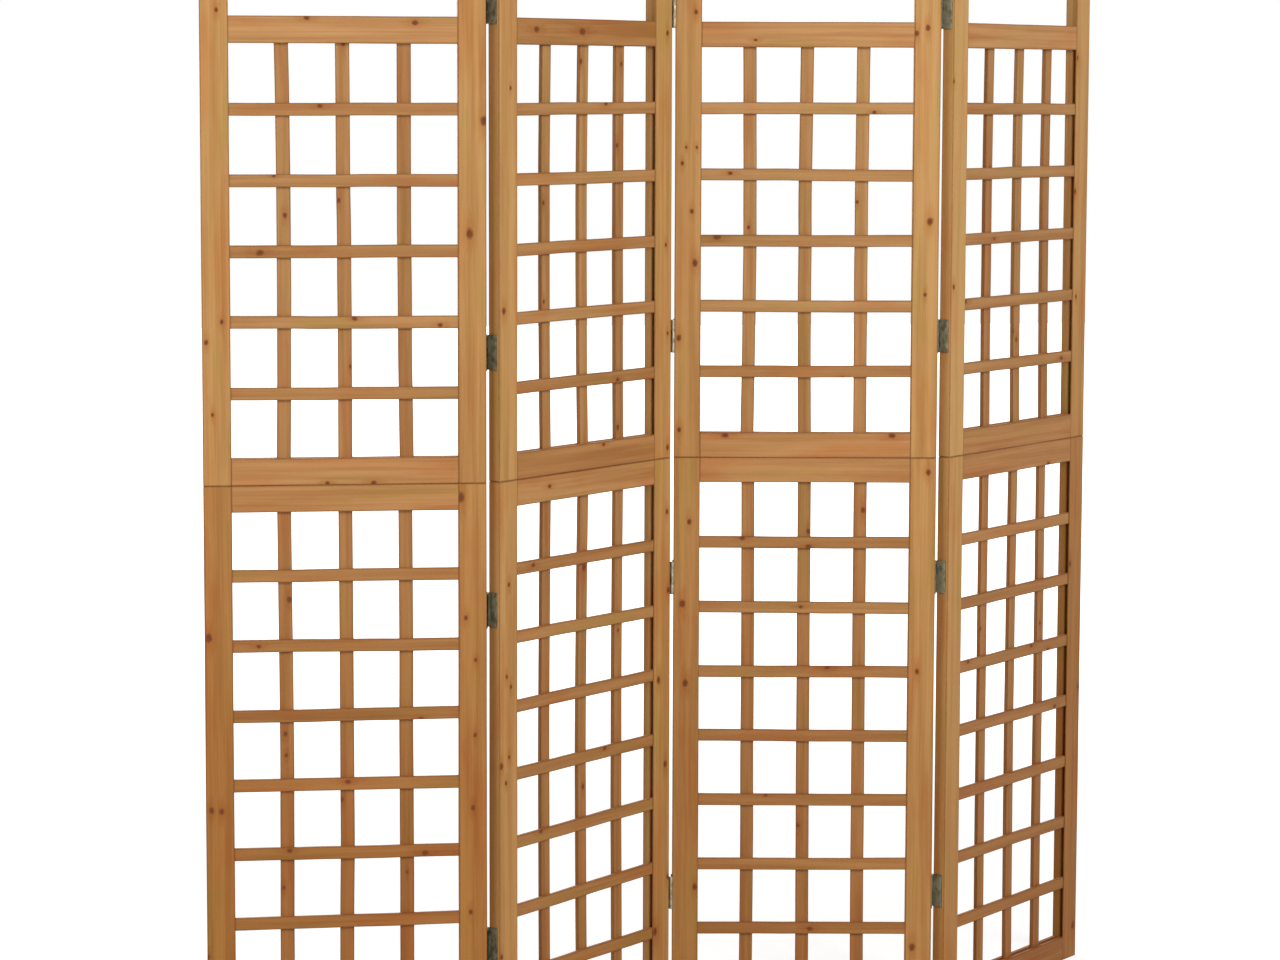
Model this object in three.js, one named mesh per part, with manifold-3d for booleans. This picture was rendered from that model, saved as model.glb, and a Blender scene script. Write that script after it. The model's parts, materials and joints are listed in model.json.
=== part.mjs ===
// A free-standing folding screen of four hinged softwood panels.
//
// Each panel is two joined frames, one standing on the other. A frame has two full-height
// stiles, rails between them and a square lattice of thin slats, cross slats in front of
// upright slats. The upper frame keeps an open band under its top rail. Small butt hinges on
// the edges of the stiles join the panels in a zigzag.
//
// Millimetres, +Z up. A panel is drawn in its own frame: X along the panel from its left
// edge, Y from its front face to its back face, Z up from the floor. The first panel stands
// along +X and the origin of the whole is under the middle of its box, on the floor.
import * as THREE from "three";
import { mergeVertices } from "three/addons/utils/BufferGeometryUtils.js";
import Module from "manifold-3d";

const wasm = await Module();
wasm.setup();

// ---- Driving dimensions ---------------------------------------------------------------

const PANELS = 4;
const PANEL_WIDTH = 400;
const FRAME_HEIGHT = 860; // one of the two frames that make a panel
const FRAME_DEPTH = 20;
const STILE_WIDTH = 40;
const RAIL_HEIGHT = 38;

// The lattice: square-edged slats in two crossed layers.
const CROSS_SLAT_HEIGHT = 18;
const UPRIGHT_SLAT_WIDTH = 20;
const SLAT_DEPTH = 6;
const SLAT_LAP = 0.5; // how far the crossing slats are let into each other
const LATTICE_SETBACK = 1.5; // from the front of the frame to the front of the cross slats
const UPRIGHT_SLATS = 3;
const LOWER_CROSS_SLATS = 7;
const UPPER_CROSS_SLATS = 5; // the band left over above them stays open
const SLAT_HOUSING = 8; // how deep a slat's end sits in its groove

// Joints between the timbers.
const TENON_DEPTH = 8;
const TENON_SHOULDER = 6; // rail left above and below the tenon
const TENON_LENGTH = 14; // short enough to stop before the dowel in the stile
const DOWEL_RADIUS = 4;
const DOWEL_LENGTH = 22; // how far it stands up out of the lower stile
const JOINT_CLEARANCE = 0.3; // around tenons, dowels and slat ends, and at each shoulder

// The butt hinges.
const HINGE_HEIGHT = 50;
const HINGE_INSET = 160; // from each end of a frame to the nearer end of its hinge
const LEAF_THICKNESS = 1.2;
const LEAF_REACH = 16; // across the stile's edge, measured from the face by the barrel
const LEAF_SEAT_GAP = 0.1; // between the leaf and the wood that it is screwed to
const BARREL_RADIUS = 2.5;
const BARREL_CLEARANCE = 0.3; // between the barrel and the face of the stile
const MIDDLE_KNUCKLE = 18;
const KNUCKLE_GAP = 0.4;
const HINGE_PIN_RADIUS = 1.3;
const PIN_CLEARANCE = 0.15;
const SCREW_RADIUS = 1.5;
const SCREW_LENGTH = 14;
const SCREW_END_MARGIN = 8; // from the end of the leaf to the middle of its screw
const PANEL_GAP = 3; // between the edges of two panels that stand in line

// How far each panel is turned from the one before it, in degrees, as the screen stands.
const FOLDS = [45, -52, 52];

// ---- Sizes that follow ------------------------------------------------------------------

const OPENING_WIDTH = PANEL_WIDTH - 2 * STILE_WIDTH;
const OPENING_LOW = RAIL_HEIGHT;
const CELL_HEIGHT = (FRAME_HEIGHT - 2 * RAIL_HEIGHT - LOWER_CROSS_SLATS * CROSS_SLAT_HEIGHT)
  / (LOWER_CROSS_SLATS + 1);
const CROSS_PITCH = CELL_HEIGHT + CROSS_SLAT_HEIGHT;
const CELL_WIDTH = (OPENING_WIDTH - UPRIGHT_SLATS * UPRIGHT_SLAT_WIDTH) / (UPRIGHT_SLATS + 1);
const UPRIGHT_PITCH = CELL_WIDTH + UPRIGHT_SLAT_WIDTH;
const MIDDLE_RAIL_LOW = OPENING_LOW + UPPER_CROSS_SLATS * CROSS_PITCH + CELL_HEIGHT;
const UPPER_FRAME_LOW = FRAME_HEIGHT + JOINT_CLEARANCE;
const UPRIGHT_FRONT = LATTICE_SETBACK + SLAT_DEPTH - SLAT_LAP;
const GROOVE_DEPTH = SLAT_HOUSING + JOINT_CLEARANCE;
const TENON_HEIGHT = RAIL_HEIGHT - 2 * TENON_SHOULDER;
const PIN_OUTSIDE = BARREL_RADIUS + BARREL_CLEARANCE; // pin's middle outside the face
const HINGE_LOWS = [HINGE_INSET, FRAME_HEIGHT - HINGE_INSET - HINGE_HEIGHT];
const SCREW_HEIGHTS = [SCREW_END_MARGIN, HINGE_HEIGHT - SCREW_END_MARGIN];

const BARREL_SIDES = 12;
const SCREW_SIDES = 6;
const DOWEL_SIDES = 8;

// ---- Solids -------------------------------------------------------------------------------

// A three.js geometry as a solid that can be joined and cut.
function toSolid(geometry) {
  const bare = geometry.clone();
  bare.deleteAttribute("normal");
  bare.deleteAttribute("uv");
  const merged = mergeVertices(bare, 1e-4);
  return new wasm.Manifold(new wasm.Mesh({
    numProp: 3,
    vertProperties: new Float32Array(merged.attributes.position.array),
    triVerts: new Uint32Array(merged.index.array),
  }));
}

// A solid back as a three.js geometry.
function toGeometry(solid) {
  const mesh = solid.getMesh();
  const geometry = new THREE.BufferGeometry();
  const positions = new Float32Array(mesh.vertProperties);
  geometry.setAttribute("position", new THREE.BufferAttribute(positions, 3));
  geometry.setIndex(new THREE.BufferAttribute(new Uint32Array(mesh.triVerts), 1));
  geometry.computeVertexNormals();
  return geometry;
}

// A block between two corners.
function block(low, high) {
  const size = high.map((value, i) => value - low[i]);
  const middle = high.map((value, i) => (value + low[i]) / 2);
  return toSolid(new THREE.BoxGeometry(...size).translate(...middle));
}

// A round bar along Z between two heights.
function uprightBar(radius, sides, x, y, low, high) {
  const bar = new THREE.CylinderGeometry(radius, radius, high - low, sides);
  return toSolid(bar.rotateX(Math.PI / 2).translate(x, y, (low + high) / 2));
}

// A round bar along X between two places.
function levelBar(radius, sides, left, right, y, z) {
  const bar = new THREE.CylinderGeometry(radius, radius, right - left, sides);
  return toSolid(bar.rotateZ(Math.PI / 2).translate((left + right) / 2, y, z));
}

function joined(solids) {
  return solids.reduce((sum, solid) => sum.add(solid));
}

function cut(solid, tools) {
  return tools.reduce((rest, tool) => rest.subtract(tool), solid);
}

// ---- Materials ----------------------------------------------------------------------------

function fir(name, color) {
  return new THREE.MeshStandardMaterial({ name, color, roughness: 0.62, metalness: 0 });
}

const stileWood = fir("fir_stile", 0xc4965c);
const railWood = fir("fir_rail", 0xba8450);
const slatWood = fir("fir_slat", 0xb88048);
const zinc = new THREE.MeshStandardMaterial({
  name: "zinc_plate", color: 0x8d8a7c, roughness: 0.42, metalness: 0.9,
});

function named(name, solid, material) {
  const mesh = new THREE.Mesh(toGeometry(solid), material);
  mesh.name = name;
  return mesh;
}

// ---- Timbers ------------------------------------------------------------------------------

// Where each hinge line sits: which edge of the panel, and on which face its barrel lies.
function barrelAtBack(line) {
  return line % 2 === 0;
}

// The depth in a panel of a hinge's screws, with the barrel at the back or at the front.
function screwDepth(atBack) {
  return atBack ? FRAME_DEPTH - LEAF_REACH / 2 : LEAF_REACH / 2;
}

// A mortise for the tenon of a rail that starts at railLow, cut into a stile's inner face.
// inward is +1 where the stile lies on the low-X side of the opening and -1 on the other.
function mortise(face, inward, railLow) {
  const deep = face - inward * (TENON_LENGTH + JOINT_CLEARANCE);
  const depthLow = (FRAME_DEPTH - TENON_DEPTH) / 2 - JOINT_CLEARANCE;
  return block(
    [Math.min(face + inward, deep), depthLow, railLow + TENON_SHOULDER - JOINT_CLEARANCE],
    [
      Math.max(face + inward, deep),
      FRAME_DEPTH - depthLow,
      railLow + TENON_SHOULDER + TENON_HEIGHT + JOINT_CLEARANCE,
    ],
  );
}

// The groove down a stile's inner face that holds the ends of the cross slats.
function slatGroove(face, inward, low, high) {
  const deep = face - inward * GROOVE_DEPTH;
  return block(
    [Math.min(face + inward, deep), LATTICE_SETBACK - JOINT_CLEARANCE, low],
    [
      Math.max(face + inward, deep),
      LATTICE_SETBACK + SLAT_DEPTH + JOINT_CLEARANCE,
      high,
    ],
  );
}

// Pilot holes in a stile's outer edge for the screws of its two hinges.
function pilotHoles(edge, inward, atBack) {
  const radius = SCREW_RADIUS + JOINT_CLEARANCE;
  const deep = edge + inward * (SCREW_LENGTH + JOINT_CLEARANCE);
  const left = Math.min(edge - inward, deep);
  const right = Math.max(edge - inward, deep);
  const heights = HINGE_LOWS.flatMap((low) => SCREW_HEIGHTS.map((height) => low + height));
  return heights.map(
    (z) => levelBar(radius, SCREW_SIDES, left, right, screwDepth(atBack), z),
  );
}

// A stile from z = 0 up. side is "left" or "right"; line is the hinge line on its edge, or
// null on the screen's free edges.
function stile(side, level, line) {
  const leftEdge = side === "left" ? 0 : PANEL_WIDTH - STILE_WIDTH;
  const face = side === "left" ? STILE_WIDTH : PANEL_WIDTH - STILE_WIDTH;
  const inward = side === "left" ? 1 : -1;
  const edge = side === "left" ? 0 : PANEL_WIDTH;
  const middle = leftEdge + STILE_WIDTH / 2;
  const topRailLow = FRAME_HEIGHT - RAIL_HEIGHT;
  const latticeHigh = level === "lower" ? topRailLow : MIDDLE_RAIL_LOW;
  const railLows = level === "lower" ? [0, topRailLow] : [0, MIDDLE_RAIL_LOW, topRailLow];

  const tools = railLows.map((low) => mortise(face, inward, low));
  tools.push(slatGroove(face, inward, OPENING_LOW, latticeHigh));
  if (line !== null) {
    tools.push(...pilotHoles(edge, inward, barrelAtBack(line)));
  }
  let solid = block([leftEdge, 0, 0], [leftEdge + STILE_WIDTH, FRAME_DEPTH, FRAME_HEIGHT]);
  if (level === "upper") {
    tools.push(uprightBar(
      DOWEL_RADIUS + JOINT_CLEARANCE, DOWEL_SIDES, middle, FRAME_DEPTH / 2,
      -1, DOWEL_LENGTH + JOINT_CLEARANCE,
    ));
  }
  solid = cut(solid, tools);
  if (level === "lower") {
    solid = solid.add(uprightBar(
      DOWEL_RADIUS, DOWEL_SIDES, middle, FRAME_DEPTH / 2,
      FRAME_HEIGHT - DOWEL_RADIUS, FRAME_HEIGHT + DOWEL_LENGTH,
    ));
  }
  return solid;
}

// A rail between the stiles with a stub tenon at each end, its underside at low.
function rail(low) {
  const left = STILE_WIDTH + JOINT_CLEARANCE;
  const right = PANEL_WIDTH - STILE_WIDTH - JOINT_CLEARANCE;
  const depthLow = (FRAME_DEPTH - TENON_DEPTH) / 2;
  const body = block([left, 0, low], [right, FRAME_DEPTH, low + RAIL_HEIGHT]);
  const tenons = block(
    [STILE_WIDTH - TENON_LENGTH, depthLow, low + TENON_SHOULDER],
    [
      PANEL_WIDTH - STILE_WIDTH + TENON_LENGTH,
      FRAME_DEPTH - depthLow,
      low + TENON_SHOULDER + TENON_HEIGHT,
    ],
  );
  return body.add(tenons);
}

// The groove in a rail's edge at height z that holds the ends of the upright slats.
// upwards is +1 where the rail lies above the lattice and -1 where it lies below.
function railGroove(z, upwards) {
  const deep = z + upwards * GROOVE_DEPTH;
  return block(
    [STILE_WIDTH, UPRIGHT_FRONT - JOINT_CLEARANCE, Math.min(z - upwards, deep)],
    [
      PANEL_WIDTH - STILE_WIDTH,
      UPRIGHT_FRONT + SLAT_DEPTH + JOINT_CLEARANCE,
      Math.max(z - upwards, deep),
    ],
  );
}

// The crossed slats of one frame. count cross slats stand at the regular pitch above
// firstLow; the uprights run from low to high.
function slats(count, firstLow, low, high) {
  const crossLeft = STILE_WIDTH - SLAT_HOUSING;
  const crossRight = PANEL_WIDTH - STILE_WIDTH + SLAT_HOUSING;
  const pieces = [];
  for (let i = 0; i < count; i += 1) {
    const z = firstLow + i * CROSS_PITCH;
    pieces.push(block(
      [crossLeft, LATTICE_SETBACK, z],
      [crossRight, LATTICE_SETBACK + SLAT_DEPTH, z + CROSS_SLAT_HEIGHT],
    ));
  }
  for (let i = 0; i < UPRIGHT_SLATS; i += 1) {
    const x = STILE_WIDTH + CELL_WIDTH + i * UPRIGHT_PITCH;
    pieces.push(block(
      [x, UPRIGHT_FRONT, low],
      [x + UPRIGHT_SLAT_WIDTH, UPRIGHT_FRONT + SLAT_DEPTH, high],
    ));
  }
  return joined(pieces);
}

// The lattice of the lower frame is glued into the rail at the panel's waist.
function lowerLattice() {
  const waistLow = FRAME_HEIGHT - RAIL_HEIGHT;
  return joined([
    rail(waistLow),
    slats(
      LOWER_CROSS_SLATS, OPENING_LOW + CELL_HEIGHT,
      OPENING_LOW - SLAT_HOUSING, waistLow + SLAT_HOUSING,
    ),
  ]);
}

// The lattice of the upper frame is glued into that frame's lowest rail.
function upperLattice() {
  return joined([
    rail(0),
    slats(
      UPPER_CROSS_SLATS, OPENING_LOW + CELL_HEIGHT,
      OPENING_LOW - SLAT_HOUSING, MIDDLE_RAIL_LOW + SLAT_HOUSING,
    ),
  ]);
}

// ---- Panels -------------------------------------------------------------------------------

function panel(number) {
  const leftLine = number > 1 ? number - 2 : null;
  const rightLine = number < PANELS ? number - 1 : null;
  const group = new THREE.Group();
  const add = (name, solid, material, z) => {
    const mesh = named(`panel_${number}_${name}`, solid, material);
    mesh.position.z = z;
    group.add(mesh);
  };

  add("lower_left_stile", stile("left", "lower", leftLine), stileWood, 0);
  add("lower_right_stile", stile("right", "lower", rightLine), stileWood, 0);
  add("lower_bottom_rail", cut(rail(0), [railGroove(OPENING_LOW, -1)]), railWood, 0);
  add("lower_lattice", lowerLattice(), slatWood, 0);

  add("upper_left_stile", stile("left", "upper", leftLine), stileWood, UPPER_FRAME_LOW);
  add("upper_right_stile", stile("right", "upper", rightLine), stileWood, UPPER_FRAME_LOW);
  add("upper_lattice", upperLattice(), slatWood, UPPER_FRAME_LOW);
  add(
    "upper_middle_rail", cut(rail(MIDDLE_RAIL_LOW), [railGroove(MIDDLE_RAIL_LOW, 1)]),
    railWood, UPPER_FRAME_LOW,
  );
  add("upper_top_rail", rail(FRAME_HEIGHT - RAIL_HEIGHT), railWood, UPPER_FRAME_LOW);
  return group;
}

// ---- Hinges -------------------------------------------------------------------------------

// One leaf, drawn with the pin's axis at x = 0, y = 0 and its foot at z = 0. The plate lies
// on the wood's edge at x = side * PANEL_GAP / 2 and reaches away from the pin along
// y = -face. knuckles are the heights that its barrel covers.
function leafBody(side, face, knuckles) {
  const wood = side * (PANEL_GAP / 2 - LEAF_SEAT_GAP);
  const inner = wood - side * LEAF_THICKNESS;
  const left = Math.min(wood, inner);
  const right = Math.max(wood, inner);
  const near = -face * PIN_OUTSIDE;
  const far = -face * (PIN_OUTSIDE + LEAF_REACH);
  const plate = block(
    [left, Math.min(near, far), 0],
    [right, Math.max(near, far), HINGE_HEIGHT],
  );
  const parts = knuckles.flatMap(([low, high]) => [
    block([left, Math.min(near, 0), low], [right, Math.max(near, 0), high]),
    uprightBar(BARREL_RADIUS, BARREL_SIDES, 0, 0, low, high),
  ]);
  const screwY = -face * (PIN_OUTSIDE + LEAF_REACH / 2);
  const tip = wood + side * SCREW_LENGTH;
  const screws = SCREW_HEIGHTS.map((z) => levelBar(
    SCREW_RADIUS, SCREW_SIDES, Math.min(inner, tip), Math.max(inner, tip), screwY, z,
  ));
  return joined([plate, ...parts, ...screws]);
}

// The leaf on the earlier panel: two end knuckles with the pin held fast in them.
function pinLeaf(face) {
  const middleLow = (HINGE_HEIGHT - MIDDLE_KNUCKLE) / 2;
  const ends = [
    [0, middleLow - KNUCKLE_GAP],
    [HINGE_HEIGHT - middleLow + KNUCKLE_GAP, HINGE_HEIGHT],
  ];
  const pin = uprightBar(HINGE_PIN_RADIUS, BARREL_SIDES, 0, 0, 1, HINGE_HEIGHT - 1);
  return leafBody(-1, face, ends).add(pin);
}

// The leaf on the later panel: one middle knuckle, bored to turn on the pin.
function turningLeaf(face) {
  const low = (HINGE_HEIGHT - MIDDLE_KNUCKLE) / 2;
  const bore = uprightBar(
    HINGE_PIN_RADIUS + PIN_CLEARANCE, BARREL_SIDES, 0, 0, -1, HINGE_HEIGHT + 1,
  );
  return leafBody(1, face, [[low, HINGE_HEIGHT - low]]).subtract(bore);
}

// Adds the four hinges of one line to the two panels that it joins.
function addHinges(line, earlier, later) {
  const face = barrelAtBack(line) ? 1 : -1;
  const y = barrelAtBack(line) ? FRAME_DEPTH + PIN_OUTSIDE : -PIN_OUTSIDE;
  const lows = [...HINGE_LOWS, ...HINGE_LOWS.map((low) => low + UPPER_FRAME_LOW)];
  lows.forEach((low, i) => {
    const prefix = `hinge_${line + 1}_${i + 1}`;
    const fixed = named(`${prefix}_pin_leaf`, pinLeaf(face), zinc);
    fixed.position.set(PANEL_WIDTH + PANEL_GAP / 2, y, low);
    earlier.add(fixed);
    const turning = named(`${prefix}_turning_leaf`, turningLeaf(face), zinc);
    turning.position.set(-PANEL_GAP / 2, y, low);
    later.add(turning);
  });
}

// ---- The screen ---------------------------------------------------------------------------

const screen = new THREE.Group();
const panels = Array.from({ length: PANELS }, (_, i) => panel(i + 1));
screen.add(panels[0]);
FOLDS.forEach((fold, line) => {
  const turn = THREE.MathUtils.degToRad(fold);
  const pinY = barrelAtBack(line) ? FRAME_DEPTH + PIN_OUTSIDE : -PIN_OUTSIDE;
  const hinge = new THREE.Group();
  hinge.position.set(PANEL_WIDTH + PANEL_GAP / 2, pinY, 0);
  hinge.rotation.z = turn;
  panels[line + 1].position.set(PANEL_GAP / 2, -pinY, 0);
  hinge.add(panels[line + 1]);
  panels[line].add(hinge);
  addHinges(line, panels[line], panels[line + 1]);
});

screen.updateMatrixWorld(true);
const box = new THREE.Box3().setFromObject(screen, true);
screen.position.set(-(box.min.x + box.max.x) / 2, -(box.min.y + box.max.y) / 2, -box.min.z);

export default screen;
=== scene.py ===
"""A folding screen of four lattice panels in oiled fir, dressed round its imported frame.

Every board is a rounded section carried along a straight line, with its own grain
coordinates, and each hinge is a pair of rolled zinc leaves. Metres, +Z up, in the frame's axes.
"""

import json
import math

import bpy
import numpy as np
from mathutils import Matrix, Vector


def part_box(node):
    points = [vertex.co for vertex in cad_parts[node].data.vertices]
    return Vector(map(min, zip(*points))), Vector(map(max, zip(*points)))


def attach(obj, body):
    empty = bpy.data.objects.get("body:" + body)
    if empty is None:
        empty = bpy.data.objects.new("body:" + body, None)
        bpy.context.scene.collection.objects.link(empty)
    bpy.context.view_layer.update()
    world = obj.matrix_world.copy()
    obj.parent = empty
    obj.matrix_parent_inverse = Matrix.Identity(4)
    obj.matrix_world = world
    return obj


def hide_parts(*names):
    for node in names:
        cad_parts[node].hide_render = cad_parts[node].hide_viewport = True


bl_info = {
    "name": "Folding lattice screen",
    "version": (1, 0, 0),
    "blender": (4, 5, 0),
    "location": "View3D > Sidebar > Screen",
    "description": "Builds the boards, hinges and stage of a folding lattice screen",
    "category": "Object",
}

MM = 0.001
PHOTO_WIDTH = 1280

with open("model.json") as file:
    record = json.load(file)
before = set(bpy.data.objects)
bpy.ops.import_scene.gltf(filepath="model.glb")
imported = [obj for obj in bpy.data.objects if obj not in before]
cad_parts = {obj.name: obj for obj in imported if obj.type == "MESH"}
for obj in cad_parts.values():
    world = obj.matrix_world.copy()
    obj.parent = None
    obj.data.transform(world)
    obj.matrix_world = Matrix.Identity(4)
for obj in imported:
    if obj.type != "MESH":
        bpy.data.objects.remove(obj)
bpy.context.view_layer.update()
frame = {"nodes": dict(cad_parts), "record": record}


# ---- What the frame says ----------------------------------------------------------------


def node_points(name):
    """The corner points of a CAD node at rest, as rows."""
    return np.array([v.co for v in frame["nodes"][name].data.vertices], float)


STILE_LOW, STILE_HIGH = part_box("panel_1_upper_left_stile")
RAIL_LOW, RAIL_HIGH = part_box("panel_1_lower_bottom_rail")
MIDDLE_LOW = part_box("panel_1_upper_middle_rail")[0]
LAST_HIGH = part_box("panel_1_upper_right_stile")[1]
LEAF_LOW, LEAF_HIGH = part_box("hinge_1_1_pin_leaf")

PANELS = len(frame["record"]["behaviour"]["bodies"])
STILE_WIDTH = STILE_HIGH.x - STILE_LOW.x
FRAME_DEPTH = STILE_HIGH.y - STILE_LOW.y
FRAME_HEIGHT = STILE_HIGH.z - STILE_LOW.z
UPPER_LOW = STILE_LOW.z
RAIL_HEIGHT = RAIL_HIGH.z - RAIL_LOW.z
PANEL_WIDTH = LAST_HIGH.x - STILE_LOW.x
MIDDLE_RAIL_LOW = MIDDLE_LOW.z - UPPER_LOW
JOINT_GAP = UPPER_LOW - FRAME_HEIGHT
HINGE_HEIGHT = LEAF_HIGH.z - LEAF_LOW.z
OPENING = PANEL_WIDTH - 2 * STILE_WIDTH
WAIST_LOW = FRAME_HEIGHT - RAIL_HEIGHT
# The foot of each frame and how far above it its lattice ends.
LEVELS = {"lower": (0.0, WAIST_LOW), "upper": (UPPER_LOW, MIDDLE_RAIL_LOW)}


class Placement:
    """Where one panel stands: its left front foot, and the ways along it and through it."""

    def __init__(self, number):
        self.body = f"panel_{number}"
        points = node_points(f"{self.body}_upper_top_rail")[:, :2]
        along = np.linalg.svd(points - points.mean(0), full_matrices=False)[2][0]
        self.along = along * np.sign(along[0])
        self.through = np.array([-self.along[1], self.along[0]])
        stile = node_points(f"{self.body}_upper_left_stile")[:, :2]
        self.start = (
            self.along * (stile @ self.along).min()
            + self.through * (stile @ self.through).min()
        )

    def to_world(self, points):
        """Points given as (along, through, up) in the panel, in the frame's axes."""
        level = self.start + points[:, :1] * self.along + points[:, 1:2] * self.through
        return np.hstack([level, points[:, 2:3]])


# ---- Settings -----------------------------------------------------------------------------


def in_mm(name, description, default):
    """A length, with its default in millimetres."""
    return bpy.props.FloatProperty(
        name=name, description=description, default=default * MM, unit="LENGTH"
    )


def plain(name, description, default):
    """A number without a unit, or with the one that its description names."""
    return bpy.props.FloatProperty(name=name, description=description, default=default)


def whole(name, description, default):
    return bpy.props.IntProperty(name=name, description=description, default=default)


def tint(name, description, default):
    return bpy.props.FloatVectorProperty(
        name=name, description=description, default=default, subtype="COLOR"
    )


class TimberSettings(bpy.types.PropertyGroup):
    edge_radius: in_mm("Edge radius", "Rounding of the frame timbers' long edges", 0.8)
    slat_radius: in_mm("Slat edge radius", "Rounding of the slats' long edges", 0.7)
    groove_depth: in_mm("Groove depth", "How deep the slat ends are housed", 8.3)
    groove_width: in_mm("Groove width", "Width of the grooves for the slat ends", 6.6)
    waviness: in_mm("Waviness", "How far a board's faces wander from true", 0.12)


class LatticeSettings(bpy.types.PropertyGroup):
    cross_height: in_mm("Cross slat height", "Face width of the level slats", 18)
    upright_width: in_mm("Upright slat width", "Face width of the upright slats", 20)
    slat_depth: in_mm("Slat depth", "Thickness of each slat", 6)
    setback: in_mm("Setback", "From the frame's front to the cross slats", 1.5)
    waviness: in_mm("Waviness", "How far the slats wander from straight", 0.35)
    lap: in_mm("Lap", "How far crossing slats are let into each other", 0.5)
    uprights: whole("Upright slats", "Upright slats in each frame", 3)
    lower_cross: whole("Lower cross slats", "Level slats in a lower frame", 7)
    upper_cross: whole("Upper cross slats", "Level slats in an upper frame", 5)
    unevenness: in_mm("Unevenness", "How far an unlisted slat stands off its true place", 1.2)


class HingeSettings(bpy.types.PropertyGroup):
    leaf_thickness: in_mm("Leaf thickness", "Sheet thickness of a leaf", 1.2)
    leaf_reach: in_mm("Leaf reach", "Width of a leaf across the stile's edge", 16)
    barrel_radius: in_mm("Barrel radius", "Outer radius of the knuckles", 2.5)
    pin_radius: in_mm("Pin radius", "Radius of the hinge pin", 1.3)
    barrel_clearance: in_mm("Barrel clearance", "From the stile's face to the barrel", 0.3)
    middle_knuckle: in_mm("Middle knuckle", "Height of the turning leaf's knuckle", 18)
    knuckle_gap: in_mm("Knuckle gap", "Gap between neighbouring knuckles", 0.4)
    panel_gap: in_mm("Panel gap", "Between the edges of two panels in line", 3)
    screw_head: in_mm("Screw head radius", "Radius of the countersunk heads", 2.7)
    screw_margin: in_mm("Screw margin", "From a leaf's end to the middle of its screw", 8)


class FinishSettings(bpy.types.PropertyGroup):
    stile_light: tint("Stile, light", "Pale wood of the stiles", (0.620, 0.345, 0.122))
    stile_dark: tint("Stile, dark", "Dark streaks of the stiles", (0.400, 0.178, 0.042))
    rail_light: tint("Rail, light", "Pale wood of the rails", (0.600, 0.315, 0.120))
    rail_dark: tint("Rail, dark", "Dark streaks of the rails", (0.380, 0.155, 0.040))
    slat_light: tint("Slat, light", "Pale wood of the slats", (0.560, 0.300, 0.114))
    slat_dark: tint("Slat, dark", "Dark streaks of the slats", (0.350, 0.150, 0.040))
    knot: tint("Knot", "Heart of the knots", (0.165, 0.042, 0.006))
    zinc: tint("Zinc", "Plating of the hinges", (0.410, 0.380, 0.275))


class StageSettings(bpy.types.PropertyGroup):
    lens: plain("Lens", "Focal length on a 36 mm wide sensor, in millimetres", 91.51)
    camera_place: bpy.props.FloatVectorProperty(
        name="Camera place", description="Where the camera stands", subtype="XYZ",
        unit="LENGTH", default=(-0.6363, -4.8632, 1.4323),
    )
    heading: plain("Heading", "Camera's turn from +Y, in degrees", -6.854)
    pitch: plain("Pitch", "Camera's tilt below level, in degrees", 5.271)
    roll: plain("Roll", "Camera's roll, in degrees", 0.179)
    axis_above_middle: plain(
        "Axis above middle",
        "Pixels of the photo's frame from its middle up to the lens axis", 100,
    )
    key_power: plain("Key lamp", "Power of the front lamp, in watts", 150)
    fill_power: plain("Fill lamp", "Power of the side lamp, in watts", 45)
    back_power: plain("Back lamp", "Power of the lamp behind, in watts", 100)
    sky: plain("Sky", "Strength of the even light from all round", 0.22)


# ---- Shader nodes ---------------------------------------------------------------------------


def sign(operation):
    """What one sign between Values does: it adds a Math node of that operation."""
    return lambda value, other: value.math(operation, other)


class Value:
    """A shader socket that can be used in sums; each sign adds one Math node."""

    def __init__(self, nodes, socket):
        self.nodes = nodes
        self.socket = socket

    def math(self, operation, *others):
        inputs = dict(enumerate((self, *others)))
        node = self.nodes.node("Math", {"operation": operation}, inputs)
        return Value(self.nodes, node.outputs[0])

    __add__ = __radd__ = sign("ADD")
    __mul__ = __rmul__ = sign("MULTIPLY")
    __sub__ = sign("SUBTRACT")
    __truediv__ = sign("DIVIDE")
    __pow__ = sign("POWER")

    def __rsub__(self, other):
        return (self * -1) + other


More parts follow.
